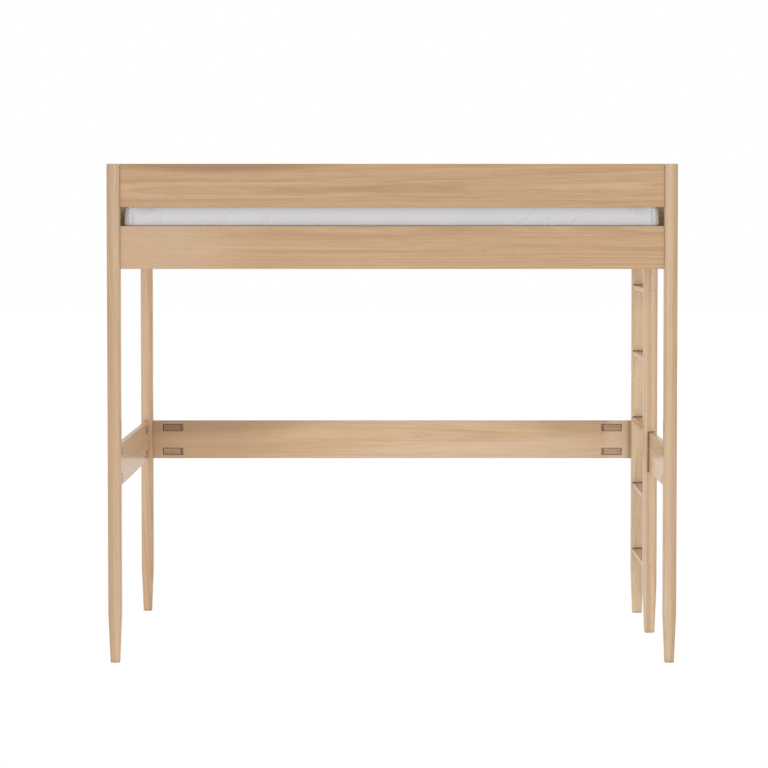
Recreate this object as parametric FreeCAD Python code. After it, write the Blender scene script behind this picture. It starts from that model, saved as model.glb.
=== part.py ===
import FreeCAD, Part
import math
import os
from collections import defaultdict

# Loft bed in solid wood, bolted together at four tapered posts, with an upright ladder
# at the right end. Lengths are in millimetres. X runs along the bed, Y from its front
# to its back, Z up. The origin is on the floor under the middle of the bed.

# Mattress, a twin size, that sets the size of the frame
MATTRESS_L = 1905.0
MATTRESS_W = 990.0
MATTRESS_H = 155.0
MATTRESS_CORNER_R = 55.0
MATTRESS_TOP_R = 24.0
MATTRESS_BOTTOM_R = 16.0
MATTRESS_CROWN = 9.0
MATTRESS_DRAW_IN = 6.0
MATTRESS_END_ROOM = 10.5
MATTRESS_SIDE_ROOM = 9.0
MATTRESS_REST_GAP = 0.3

# Posts
HEIGHT = 1774.0
POST = 47.0
POST_CORNER_R = 12.0
POST_TOP_R = 4.0
POST_FOOT = 33.0
FOOT_EDGE_R = 1.5
TAPER_H = 178.0

# Boards
BOARD_T = 20.0
BOARD_H = 152.0
BOARD_EDGE_R = 2.5
BOARD_END_R = 2.0
RAIL_GAP = 68.0
STRETCHER_Z = 617.0

# Ladder
STILE = 51.0
STILE_FOOT = 37.5
STILE_CORNER_R = 12.0
STILE_ROOM = 4.5
RUNG_COUNT = 5
RUNG_SPAN = 366.5
RUNG_W = 44.0
RUNG_T = 19.0
RUNG_EDGE_R = 3.0
FIRST_RUNG_TOP = 262.0
LAST_RUNG_DROP = 86.0
HOUSING_DEPTH = 14.0
HOUSING_HEADROOM = 4.0
HOUSING_SIDE_ROOM = 6.0
HOUSING_FIT = 0.1
DOWEL_D = 8.0
DOWEL_L = 36.0
DOWEL_PITCH = 28.0
DOWEL_FIT = 0.05

# Knock-down joints: a bolt in a covered pocket pulls the board's end against a threaded insert
BOLT_D = 6.0
BOLT_HEAD_D = 10.0
BOLT_HEAD_H = 6.0
BOLT_PITCH = 96.0
BOLT_FIT = 0.05
BOLT_HOLE_FIT = 0.3
INSERT_D = 10.0
INSERT_L = 13.0
INSERT_FIT = 0.05
INSERT_TIP_ROOM = 1.0
POCKET_L = 82.0
POCKET_H = 29.0
POCKET_END = 40.0
POCKET_CORNER_R = 2.5
POCKET_FLOOR_ROOM = 0.5
COVER_T = 3.0
COVER_SUNK = 0.3
COVER_FINGER_GAP = 9.5
COVER_END_GAP = 1.5
COVER_SIDE_GAP = 0.8
COVER_FOOT_L = 8.0
COVER_FOOT_FIT = 0.1

# Slat base
LEDGE_T = 28.0
LEDGE_H = 25.0
LEDGE_EDGE_R = 2.0
LEDGE_END_ROOM = 15.0
LEDGE_Z = 47.0
SLAT_COUNT = 14
SLAT_W = 70.0
SLAT_T = 18.0
SLAT_EDGE_R = 2.0
SLAT_SIDE_ROOM = 4.0
SLAT_END_ROOM = 18.0
TAPE_W = 30.0
TAPE_T = 1.5
TAPE_SPACING = 600.0
SCREW_D = 4.0
SCREW_HEAD_D = 8.0
SCREW_HEAD_H = 3.0
SCREW_FIT = 0.05
LEDGE_SCREW_COUNT = 7
LEDGE_SCREW_L = 42.0
LEDGE_SCREW_INSET = 90.0
SLAT_SCREW_L = 35.0

# Foot glides
GLIDE_D = 25.0
GLIDE_PROUD = 1.0
GLIDE_SUNK = 3.0
GLIDE_EDGE_R = 0.8
GLIDE_FIT = 0.05

# Length by which a cutter passes through the face that it opens
OVERRUN = 5.0

# How near to a level, and how near to parallel, an edge lies to count as there
LEVEL_TOLERANCE = 0.001
PARALLEL_TOLERANCE_SHARE = 1e-6

# Worked-out places
POST_X = MATTRESS_L / 2 + MATTRESS_END_ROOM + POST / 2
POST_Y = MATTRESS_W / 2 + MATTRESS_SIDE_ROOM + BOARD_T / 2
POST_FACE_X = POST_X - POST / 2
POST_FACE_Y = POST_Y - POST / 2
GUARD_Z = HEIGHT - BOARD_H
SIDE_RAIL_Z = GUARD_Z - RAIL_GAP - BOARD_H
PANEL_H = HEIGHT - SIDE_RAIL_Z
GUARD_MID = GUARD_Z + BOARD_H / 2
SIDE_RAIL_MID = SIDE_RAIL_Z + BOARD_H / 2
STRETCHER_MID = STRETCHER_Z + BOARD_H / 2
GUARD_BOLTS = (GUARD_MID - BOLT_PITCH / 2, GUARD_MID + BOLT_PITCH / 2)
SIDE_RAIL_BOLTS = (SIDE_RAIL_MID - BOLT_PITCH / 2, SIDE_RAIL_MID + BOLT_PITCH / 2)
STRETCHER_BOLTS = (STRETCHER_MID - BOLT_PITCH / 2, STRETCHER_MID + BOLT_PITCH / 2)
PANEL_BOLTS = (SIDE_RAIL_MID, GUARD_MID)
POCKET_DEPTH = BOARD_T / 2 + BOLT_HEAD_D / 2 + POCKET_FLOOR_ROOM
POCKET_FLOOR_Y = BOARD_T / 2 - POCKET_DEPTH
COVER_INNER_Y = BOARD_T / 2 - COVER_SUNK - COVER_T
TENON = HOUSING_DEPTH - HOUSING_FIT

STILE_X = MATTRESS_L / 2 + STILE_ROOM + STILE / 2
BACK_STILE_Y = POST_FACE_Y - STILE / 2
BACK_STILE_FRONT = POST_FACE_Y - STILE
FRONT_STILE_BACK = BACK_STILE_FRONT - RUNG_SPAN
FRONT_STILE_Y = FRONT_STILE_BACK - STILE / 2
FRONT_STILE_FRONT = FRONT_STILE_BACK - STILE
LAST_RUNG_TOP = SIDE_RAIL_Z - LAST_RUNG_DROP
RUNG_PITCH = (LAST_RUNG_TOP - FIRST_RUNG_TOP) / (RUNG_COUNT - 1)
RUNG_TOPS = [FIRST_RUNG_TOP + RUNG_PITCH * step for step in range(RUNG_COUNT)]
BOLTED_RUNG_TOPS = (RUNG_TOPS[0], RUNG_TOPS[-1])

RAIL_INNER_Y = POST_Y - BOARD_T / 2
LEDGE_X = POST_FACE_X - LEDGE_END_ROOM
LEDGE_BOTTOM = SIDE_RAIL_Z + LEDGE_Z
LEDGE_TOP = LEDGE_BOTTOM + LEDGE_H
SLAT_TOP = LEDGE_TOP + SLAT_T
SLAT_HALF_L = RAIL_INNER_Y - SLAT_SIDE_ROOM
SLAT_REACH = POST_FACE_X - SLAT_END_ROOM
SLAT_PITCH = (2 * SLAT_REACH - SLAT_W) / (SLAT_COUNT - 1)
SLAT_CENTRES = [-SLAT_REACH + SLAT_W / 2 + SLAT_PITCH * step for step in range(SLAT_COUNT)]
MATTRESS_Z = SLAT_TOP + MATTRESS_REST_GAP

X_AXIS = FreeCAD.Vector(1, 0, 0)
Y_AXIS = FreeCAD.Vector(0, 1, 0)
Z_AXIS = FreeCAD.Vector(0, 0, 1)

# Quarter turns about Z that point a board's pocketed face to the inside of the bed
FACES_BACK = 0
FACES_LEFT = 90
FACES_FRONT = 180
FACES_RIGHT = 270

nodes = {}
cutters = defaultdict(list)
bolts = []
ladder_bolts = []
rung_bolts = []
inserts = []
covers = []
dowels = []


def point(x, y, z):
    return FreeCAD.Vector(x, y, z)


def box(x_range, y_range, z_range):
    """A box between three pairs of places."""
    low = [min(pair) for pair in (x_range, y_range, z_range)]
    high = [max(pair) for pair in (x_range, y_range, z_range)]
    sides = [top - bottom for bottom, top in zip(low, high)]
    return Part.makeBox(*sides, point(*low))


def rod(diameter, start, direction, length):
    return Part.makeCylinder(diameter / 2, length, start, direction)


def ease_along(solid, axis, radius):
    """Round the edges that run along one axis."""
    edges = []
    for edge in solid.Edges:
        slant = edge.tangentAt(edge.FirstParameter).cross(axis).Length
        if slant < PARALLEL_TOLERANCE_SHARE:
            edges.append(edge)
    return solid.makeFillet(radius, edges)


def ease_level(solid, level, radius):
    """Round the edges that lie at one height."""
    edges = []
    for edge in solid.Edges:
        extent = edge.BoundBox
        if max(abs(extent.ZMin - level), abs(extent.ZMax - level)) < LEVEL_TOLERANCE:
            edges.append(edge)
    return solid.makeFillet(radius, edges)


def rounded_outline(half_x, half_y, radius, level, draw_in=0.0):
    """A rectangle with round corners whose sides may be drawn in between the corners.

    Each quarter of it, a side and then the corner that follows, is written as for the
    front side and turned to its own side.
    """
    cut = radius * (1 - math.sqrt(0.5))
    edges = []
    for quarter in range(4):
        along, across = (half_x, half_y) if quarter % 2 == 0 else (half_y, half_x)
        places = (
            (radius - along, -across),
            (0, draw_in - across),
            (along - radius, -across),
            (along - cut, cut - across),
            (along, radius - across),
        )
        turn = FreeCAD.Rotation(Z_AXIS, 90 * quarter)
        start, side_mid, end, corner_mid, corner_end = [
            turn.multVec(point(x, y, 0)) + Z_AXIS * level for x, y in places
        ]
        if draw_in:
            edges.append(Part.Arc(start, side_mid, end).toShape())
        else:
            edges.append(Part.makeLine(start, end))
        edges.append(Part.Arc(end, corner_mid, corner_end).toShape())
    return Part.Wire(edges)


def tapered_leg(size, foot, corner_r, x, y):
    """A square leg with round corners that narrows to its foot, and a seat for its glide."""
    foot_r = corner_r * foot / size
    foot_outline = rounded_outline(foot / 2, foot / 2, foot_r, GLIDE_PROUD)
    knee_outline = rounded_outline(size / 2, size / 2, corner_r, TAPER_H)
    taper = Part.makeLoft([foot_outline, knee_outline], True, True)
    shaft = Part.Face(knee_outline).extrude(Z_AXIS * (HEIGHT - TAPER_H))
    leg = ease_level(shaft.fuse(taper).removeSplitter(), HEIGHT, POST_TOP_R)
    leg = ease_level(leg, GLIDE_PROUD, FOOT_EDGE_R)
    seat = rod(GLIDE_D + 2 * GLIDE_FIT, point(0, 0, GLIDE_PROUD - OVERRUN), Z_AXIS, OVERRUN + GLIDE_SUNK)
    leg = leg.cut(seat)
    leg.translate(point(x, y, 0))
    return leg


def glide(x, y):
    """A nylon disc let into a foot, with a rounded lower edge."""
    disc = rod(GLIDE_D, point(x, y, 0), Z_AXIS, GLIDE_PROUD + GLIDE_SUNK)
    return ease_level(disc, 0.0, GLIDE_EDGE_R)


def bolt(seat, direction, shank):
    """A bolt whose head rests on its seat and whose shank runs along the direction."""
    head = rod(BOLT_HEAD_D, seat, direction * -1, BOLT_HEAD_H)
    return head.fuse(rod(BOLT_D, seat, direction, shank)).removeSplitter()


def insert(mouth, direction):
    """A threaded sleeve let into a face, with its bore along the direction."""
    sleeve = rod(INSERT_D, mouth, direction, INSERT_L)
    bore = rod(BOLT_D + 2 * BOLT_FIT, mouth - direction * OVERRUN, direction, INSERT_L + 2 * OVERRUN)
    return sleeve.cut(bore)


def insert_hole(mouth, direction):
    length = OVERRUN + INSERT_L + INSERT_TIP_ROOM
    return rod(INSERT_D + 2 * INSERT_FIT, mouth - direction * OVERRUN, direction, length)


def screw(face, direction, length):
    """A countersunk screw, its head flush with a face."""
    head = Part.makeCone(SCREW_HEAD_D / 2, SCREW_D / 2, SCREW_HEAD_H, face, direction)
    return head.fuse(rod(SCREW_D, face, direction, length)).removeSplitter()


def screw_hole(face, direction, length):
    mouth_r = SCREW_HEAD_D / 2 + SCREW_FIT
    throat_r = SCREW_D / 2 + SCREW_FIT
    head = Part.makeCone(mouth_r, throat_r, SCREW_HEAD_H, face, direction)
    return head.fuse(rod(2 * throat_r, face, direction, length + SCREW_FIT))


def pocket(end, inward, level):
    """The routed pocket and the bolt hole at one end of a board that lies along X."""
    near = end + inward * POCKET_END
    far = near + inward * POCKET_L
    half = POCKET_H / 2
    well = box((near, far), (POCKET_FLOOR_Y, BOARD_T / 2 + OVERRUN), (level - half, level + half))
    well = ease_along(well, Y_AXIS, POCKET_CORNER_R)
    start = point(end - inward * OVERRUN, 0, level)
    hole = rod(BOLT_D + 2 * BOLT_HOLE_FIT, start, X_AXIS * inward, 2 * OVERRUN + POCKET_END)
    return well.fuse(hole)


def cover(end, inward, level):
    """The plate over a pocket's bolt, on a foot that wedges in the pocket.

    The plate stops short of the pocket's inner end so that a finger can lift it out.
    """
    near = end + inward * (POCKET_END + COVER_END_GAP)
    far = end + inward * (POCKET_END + POCKET_L - COVER_FINGER_GAP)
    half = POCKET_H / 2 - COVER_SIDE_GAP
    plate = box((near, far), (COVER_INNER_Y, COVER_INNER_Y + COVER_T), (level - half, level + half))
    plate = ease_along(plate, Y_AXIS, POCKET_CORNER_R)
    foot_half = POCKET_H / 2 - COVER_FOOT_FIT
    foot = box((far - inward * COVER_FOOT_L, far), (POCKET_FLOOR_Y, COVER_INNER_Y),
               (level - foot_half, level + foot_half))
    return plate.fuse(foot).removeSplitter()


def turned(shape, turn, origin):
    """A copy of a shape, turned about Z and moved to its place."""
    moved = shape.copy()
    moved.rotate(point(0, 0, 0), Z_AXIS, turn)
    moved.translate(origin)
    return moved


def add_board(name, start, length, turn, bottom, height, bolt_levels, near_post, far_post=None):
    """A board with eased edges, pocketed at each end that it is bolted from, with the pockets' covers.

    It is laid along X with its pocketed face to the back, then turned to its place.
    Its near end is at the start. Where no far post is given, bolts through the
    neighbour hold the far end, and the board carries the inserts for them.
    """
    origin = point(start[0], start[1], 0)
    board = box((0, length), (-BOARD_T / 2, BOARD_T / 2), (bottom, bottom + height))
    board = ease_along(board, X_AXIS, BOARD_EDGE_R)
    board = ease_along(board, Z_AXIS, BOARD_END_R)
    for end, inward, post in ((0, 1, near_post), (length, -1, far_post)):
        for level in bolt_levels:
            mouth = point(end, 0, level)
            into_board = X_AXIS * inward
            if post is None:
                board = board.cut(insert_hole(mouth, into_board))
                inserts.append(turned(insert(mouth, into_board), turn, origin))
                continue
            board = board.cut(pocket(end, inward, level))
            seat = point(end + inward * POCKET_END, 0, level)
            bolts.append(turned(bolt(seat, into_board * -1, POCKET_END + INSERT_L), turn, origin))
            covers.append(turned(cover(end, inward, level), turn, origin))
            inserts.append(turned(insert(mouth, into_board * -1), turn, origin))
            cutters[post].append(turned(insert_hole(mouth, into_board * -1), turn, origin))
    nodes[name] = turned(board, turn, origin)


def bolt_through_stile(name, face_y, inward, x, level, grip, group):
    """A bolt with its head sunk flush in a stile's face, through to an insert beyond it."""
    direction = Y_AXIS * inward
    seat = point(x, face_y + inward * BOLT_HEAD_H, level)
    group.append(bolt(seat, direction, grip - BOLT_HEAD_H + INSERT_L))
    sink = rod(BOLT_HEAD_D + 2 * BOLT_HOLE_FIT, seat - direction * (BOLT_HEAD_H + OVERRUN), direction,
               BOLT_HEAD_H + OVERRUN)
    hole = rod(BOLT_D + 2 * BOLT_HOLE_FIT, seat - direction * OVERRUN, direction, grip + OVERRUN)
    cutters[name] += [sink, hole]


def build_boards():
    span_x = 2 * POST_FACE_X
    span_y = 2 * POST_FACE_Y
    short_y = FRONT_STILE_FRONT + POST_FACE_Y
    long_boards = (
        ("guard_rail", GUARD_Z, GUARD_BOLTS),
        ("side_rail", SIDE_RAIL_Z, SIDE_RAIL_BOLTS),
        ("stretcher", STRETCHER_Z, STRETCHER_BOLTS),
    )
    for kind, bottom, levels in long_boards:
        if kind != "stretcher":
            add_board("front_" + kind, (-POST_FACE_X, -POST_Y), span_x, FACES_BACK, bottom, BOARD_H, levels,
                      "front_left_post", "front_right_post")
        add_board("back_" + kind, (POST_FACE_X, POST_Y), span_x, FACES_FRONT, bottom, BOARD_H, levels,
                  "back_right_post", "back_left_post")
    end_boards = (
        ("end_panel", SIDE_RAIL_Z, PANEL_H, PANEL_BOLTS, 0),
        ("end_stretcher", STRETCHER_Z, BOARD_H, STRETCHER_BOLTS, TENON),
    )
    for kind, bottom, height, levels, housed in end_boards:
        add_board("left_" + kind, (-POST_X, POST_FACE_Y), span_y, FACES_RIGHT, bottom, height, levels,
                  "back_left_post", "front_left_post")
        add_board("right_" + kind, (POST_X, -POST_FACE_Y), short_y + housed, FACES_LEFT, bottom, height,
                  levels, "front_right_post")
        for level in levels:
            bolt_through_stile("ladder_front_stile", FRONT_STILE_BACK, -1, POST_X, level, STILE - housed,
                               ladder_bolts)
    add_board("ladder_entry_rail", (POST_X, FRONT_STILE_BACK), RUNG_SPAN, FACES_LEFT, SIDE_RAIL_Z, BOARD_H,
              SIDE_RAIL_BOLTS, "ladder_front_stile", "ladder_back_stile")
    # The housing that takes the right end stretcher leaves room above it and on its inner side
    half_t = BOARD_T / 2
    cutters["ladder_front_stile"].append(box(
        (POST_X - half_t - HOUSING_SIDE_ROOM, POST_X + half_t + HOUSING_FIT),
        (FRONT_STILE_FRONT - OVERRUN, FRONT_STILE_FRONT + HOUSING_DEPTH),
        (STRETCHER_Z - HOUSING_FIT, STRETCHER_Z + BOARD_H + HOUSING_HEADROOM)))


def build_ladder():
    """Five rungs housed, dowelled and, at the top and bottom, bolted between two stiles."""
    ends = (
        ("ladder_front_stile", FRONT_STILE_BACK, -1),
        ("ladder_back_stile", BACK_STILE_FRONT, 1),
    )
    half_w = RUNG_W / 2 + HOUSING_FIT
    rung_y = (FRONT_STILE_BACK - TENON, BACK_STILE_FRONT + TENON)
    for number, top in enumerate(RUNG_TOPS, 1):
        mid = top - RUNG_T / 2
        rung = box((STILE_X - RUNG_W / 2, STILE_X + RUNG_W / 2), rung_y, (top - RUNG_T, top))
        rung = ease_along(rung, Y_AXIS, RUNG_EDGE_R)
        for stile, face_y, outward in ends:
            floor_y = face_y + outward * HOUSING_DEPTH
            housing = box((STILE_X - half_w, STILE_X + half_w), (face_y - outward * OVERRUN, floor_y),
                          (top - RUNG_T, top + HOUSING_HEADROOM))
            cutters[stile].append(ease_along(housing, Y_AXIS, RUNG_EDGE_R))
            for x in (STILE_X - DOWEL_PITCH / 2, STILE_X + DOWEL_PITCH / 2):
                start = point(x, floor_y - DOWEL_L / 2, mid)
                dowels.append(rod(DOWEL_D, start, Y_AXIS, DOWEL_L))
                bore_start = start - Y_AXIS * DOWEL_FIT
                bore = rod(DOWEL_D + 2 * DOWEL_FIT, bore_start, Y_AXIS, DOWEL_L + 2 * DOWEL_FIT)
                cutters[stile].append(bore)
                rung = rung.cut(bore)
        if top in BOLTED_RUNG_TOPS:
            mouth = point(STILE_X, rung_y[0], mid)
            rung = rung.cut(insert_hole(mouth, Y_AXIS))
            inserts.append(insert(mouth, Y_AXIS))
            bolt_through_stile("ladder_front_stile", FRONT_STILE_FRONT, 1, STILE_X, mid,
                               rung_y[0] - FRONT_STILE_FRONT, rung_bolts)
        nodes["ladder_rung_%d" % number] = rung
    for level in STRETCHER_BOLTS + PANEL_BOLTS:
        bolt_through_stile("ladder_back_stile", BACK_STILE_FRONT, 1, POST_X, level, STILE, ladder_bolts)
        mouth = point(POST_X, POST_FACE_Y, level)
        inserts.append(insert(mouth, Y_AXIS))
        cutters["back_right_post"].append(insert_hole(mouth, Y_AXIS))


def build_legs():
    """Posts and stiles, cut for all that is let into them, and the glides under their feet."""
    legs = (
        ("front_left_post", POST, POST_FOOT, POST_CORNER_R, -POST_X, -POST_Y),
        ("front_right_post", POST, POST_FOOT, POST_CORNER_R, POST_X, -POST_Y),
        ("back_left_post", POST, POST_FOOT, POST_CORNER_R, -POST_X, POST_Y),
        ("back_right_post", POST, POST_FOOT, POST_CORNER_R, POST_X, POST_Y),
        ("ladder_front_stile", STILE, STILE_FOOT, STILE_CORNER_R, STILE_X, FRONT_STILE_Y),
        ("ladder_back_stile", STILE, STILE_FOOT, STILE_CORNER_R, STILE_X, BACK_STILE_Y),
    )
    glides = []
    for name, size, foot, corner_r, x, y in legs:
        nodes[name] = tapered_leg(size, foot, corner_r, x, y).cut(cutters[name])
        glides.append(glide(x, y))
    nodes["foot_glides"] = Part.makeCompound(glides)


def build_slat_base():
    """Ledges screwed to the side rails, and a rolled-out slat base that lies on them."""
    ledge_screws = []
    slat_screws = []
    screw_reach = LEDGE_X - LEDGE_SCREW_INSET
    screw_step = 2 * screw_reach / (LEDGE_SCREW_COUNT - 1)
    screw_mid = LEDGE_BOTTOM + LEDGE_H / 2
    end_slats = (SLAT_CENTRES[0], SLAT_CENTRES[-1])
    ledge_inner_y = RAIL_INNER_Y - LEDGE_T
    slat_screw_y = RAIL_INNER_Y - LEDGE_T / 2
    for side, sign in (("front", -1), ("back", 1)):
        ledge_y = (sign * ledge_inner_y, sign * RAIL_INNER_Y)
        ledge = box((-LEDGE_X, LEDGE_X), ledge_y, (LEDGE_BOTTOM, LEDGE_TOP))
        ledge = ease_along(ledge, X_AXIS, LEDGE_EDGE_R)
        outward = Y_AXIS * sign
        holes = []
        for step in range(LEDGE_SCREW_COUNT):
            face = point(screw_step * step - screw_reach, sign * ledge_inner_y, screw_mid)
            ledge_screws.append(screw(face, outward, LEDGE_SCREW_L))
            holes.append(screw_hole(face, outward, LEDGE_SCREW_L))
        rail = side + "_side_rail"
        nodes[rail] = nodes[rail].cut(holes)
        for x in end_slats:
            face = point(x, sign * slat_screw_y, SLAT_TOP)
            slat_screws.append(screw(face, Z_AXIS * -1, SLAT_SCREW_L))
            holes.append(screw_hole(face, Z_AXIS * -1, SLAT_SCREW_L))
        nodes[side + "_slat_ledge"] = ledge.cut(holes)
        tape_mid = sign * TAPE_SPACING / 2
        tape_y = (tape_mid - TAPE_W / 2, tape_mid + TAPE_W / 2)
        tape_z = (LEDGE_TOP - TAPE_T, LEDGE_TOP)
        nodes["slat_webbing_" + side] = box((-SLAT_REACH, SLAT_REACH), tape_y, tape_z)
    for number, x in enumerate(SLAT_CENTRES, 1):
        slat = box((x - SLAT_W / 2, x + SLAT_W / 2), (-SLAT_HALF_L, SLAT_HALF_L), (LEDGE_TOP, SLAT_TOP))
        slat = ease_along(slat, Y_AXIS, SLAT_EDGE_R)
        if x in end_slats:
            slat = slat.cut([screw_hole(point(x, sign * slat_screw_y, SLAT_TOP), Z_AXIS * -1, SLAT_SCREW_L)
                             for sign in (-1, 1)])
        nodes["slat_%02d" % number] = slat
    nodes["ledge_screws"] = Part.makeCompound(ledge_screws)
    nodes["slat_screws"] = Part.makeCompound(slat_screws)


def crown_section(x, half_y, edge_z, middle_z, bottom_z):
    """A closed section across the mattress: straight sides under one shallow arc."""
    left = point(x, -half_y, edge_z)
    right = point(x, half_y, edge_z)
    arc = Part.Arc(left, point(x, 0, middle_z), right).toShape()
    lines = Part.makePolygon([right, point(x, half_y, bottom_z), point(x, -half_y, bottom_z), left])
    return Part.Wire([arc] + lines.Edges)


def build_mattress():
    """A mattress with drawn-in sides, a crowned top and soft edges."""
    top = MATTRESS_Z + MATTRESS_H
    half_x = MATTRESS_L / 2
    half_y = MATTRESS_W / 2 + OVERRUN
    outline = rounded_outline(half_x, MATTRESS_W / 2, MATTRESS_CORNER_R, MATTRESS_Z, MATTRESS_DRAW_IN)
    block = Part.Face(outline).extrude(Z_AXIS * MATTRESS_H)
    bottom = MATTRESS_Z - OVERRUN
    end_top = top - MATTRESS_CROWN / 2
    sections = [
        crown_section(-half_x - OVERRUN, half_y, end_top - MATTRESS_CROWN, end_top, bottom),
        crown_section(0, half_y, top - MATTRESS_CROWN, top, bottom),
        crown_section(half_x + OVERRUN, half_y, end_top - MATTRESS_CROWN, end_top, bottom),
    ]
    solid = block.common(Part.makeLoft(sections, True, False)).Solids[0]
    top_face = max(solid.Faces, key=lambda face: face.CenterOfMass.z)
    solid = solid.makeFillet(MATTRESS_TOP_R, top_face.OuterWire.Edges)
    nodes["mattress"] = ease_level(solid, MATTRESS_Z, MATTRESS_BOTTOM_R)


def main():
    build_boards()
    build_ladder()
    build_legs()
    build_slat_base()
    build_mattress()
    nodes["rail_bolts"] = Part.makeCompound(bolts)
    nodes["ladder_bolts"] = Part.makeCompound(ladder_bolts)
    nodes["rung_bolts"] = Part.makeCompound(rung_bolts)
    nodes["threaded_inserts"] = Part.makeCompound(inserts)
    nodes["pocket_covers"] = Part.makeCompound(covers)
    nodes["rung_dowels"] = Part.makeCompound(dowels)
    os.makedirs("parts", exist_ok=True)
    for name, shape in nodes.items():
        shape.exportStep("parts/%s.step" % name)


main()
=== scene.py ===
"""Looks of a loft bed in lacquered oak: grain, covered mattress, webbing, fasteners and stage.

Lengths are in metres unless a name says millimetres. X runs along the bed towards the
ladder, Y from its front to its back, Z up.
"""

import math
import random
from contextlib import contextmanager

import bmesh
import bpy
from bpy.props import FloatProperty, FloatVectorProperty, PointerProperty
from mathutils import Euler, Matrix, Vector, noise


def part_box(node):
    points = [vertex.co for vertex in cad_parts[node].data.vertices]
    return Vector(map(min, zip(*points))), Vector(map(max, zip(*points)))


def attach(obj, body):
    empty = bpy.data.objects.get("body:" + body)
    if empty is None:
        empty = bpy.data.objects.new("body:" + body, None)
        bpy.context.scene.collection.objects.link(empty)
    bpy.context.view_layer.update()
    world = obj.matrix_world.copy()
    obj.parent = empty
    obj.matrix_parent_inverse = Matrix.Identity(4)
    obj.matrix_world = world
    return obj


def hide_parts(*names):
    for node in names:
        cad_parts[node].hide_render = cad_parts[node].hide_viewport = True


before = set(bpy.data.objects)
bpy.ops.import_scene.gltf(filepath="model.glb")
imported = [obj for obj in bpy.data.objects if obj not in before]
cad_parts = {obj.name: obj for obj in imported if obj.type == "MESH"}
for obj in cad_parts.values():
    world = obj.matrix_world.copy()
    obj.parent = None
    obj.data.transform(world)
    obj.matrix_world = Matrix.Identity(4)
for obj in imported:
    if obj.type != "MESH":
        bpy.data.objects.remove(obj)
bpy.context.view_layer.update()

bl_info = {
    "name": "Loft Bed Finish",
    "version": (1, 0, 0),
    "blender": (4, 5, 0),
    "location": "View3D > Sidebar > Loft Bed",
    "description": "Finishes the loft bed: oak, covered mattress, webbing, fasteners and stage",
    "category": "Object",
}

MM = 0.001

# Points of one corner that CAD gives more than once lie closer together than this
SAME_POINT = 0.001 * MM

# A face or point whose normal has more than this share along a direction faces that way
FACING = 0.8

# Pieces of the frame, by the way their grain runs
OAK_PIECES = {
    "X": ("front_guard_rail", "back_guard_rail", "front_side_rail", "back_side_rail", "back_stretcher"),
    "Y": (
        "left_end_panel", "right_end_panel", "left_end_stretcher", "right_end_stretcher",
        "ladder_entry_rail", "ladder_rung_1", "ladder_rung_2", "ladder_rung_3", "ladder_rung_4",
        "ladder_rung_5",
    ),
    "Z": (
        "front_left_post", "front_right_post", "back_left_post", "back_right_post",
        "ladder_front_stile", "ladder_back_stile",
    ),
}
LEDGES = ("front_slat_ledge", "back_slat_ledge")
SLATS = tuple(sorted(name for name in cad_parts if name.startswith("slat_") and name[5:].isdigit()))

# Turns that bring each grain direction onto a pattern's own X axis
GRAIN_TURN = {
    "X": (0.0, 0.0, 0.0),
    "Y": (0.0, 0.0, math.radians(-90)),
    "Z": (0.0, math.radians(90), 0.0),
}

# Boards that are lighter or darker than the rest, and how far they have faded, by share. The lift of
# the back stretcher and the ladder's back stile is partly painted light for the shade the lamps leave there
BOARD_TONES = {
    "front_guard_rail": (-0.05, 0.01), "front_side_rail": (-0.04, 0.02), "back_stretcher": (0.055, 0.085),
    "front_left_post": (0.03, 0.095), "front_right_post": (0.06, 0.09), "back_left_post": (0.06, 0.07),
    "left_end_stretcher": (0.03, 0.09), "right_end_stretcher": (0.24, 0.145),
    "ladder_front_stile": (0.09, 0.09), "ladder_back_stile": (0.20, 0.17),
}

# The same for the other boards and the slats: the range of their tones, and the boards' fading
OTHER_BOARD_TONES = (-0.02, 0.04)
OTHER_BOARD_FADE = 0.04
SLAT_TONES = (-0.05, 0.05)

# How much more of its blue than of its green a colour gains as it fades
BLUE_FADE = 2.2
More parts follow.
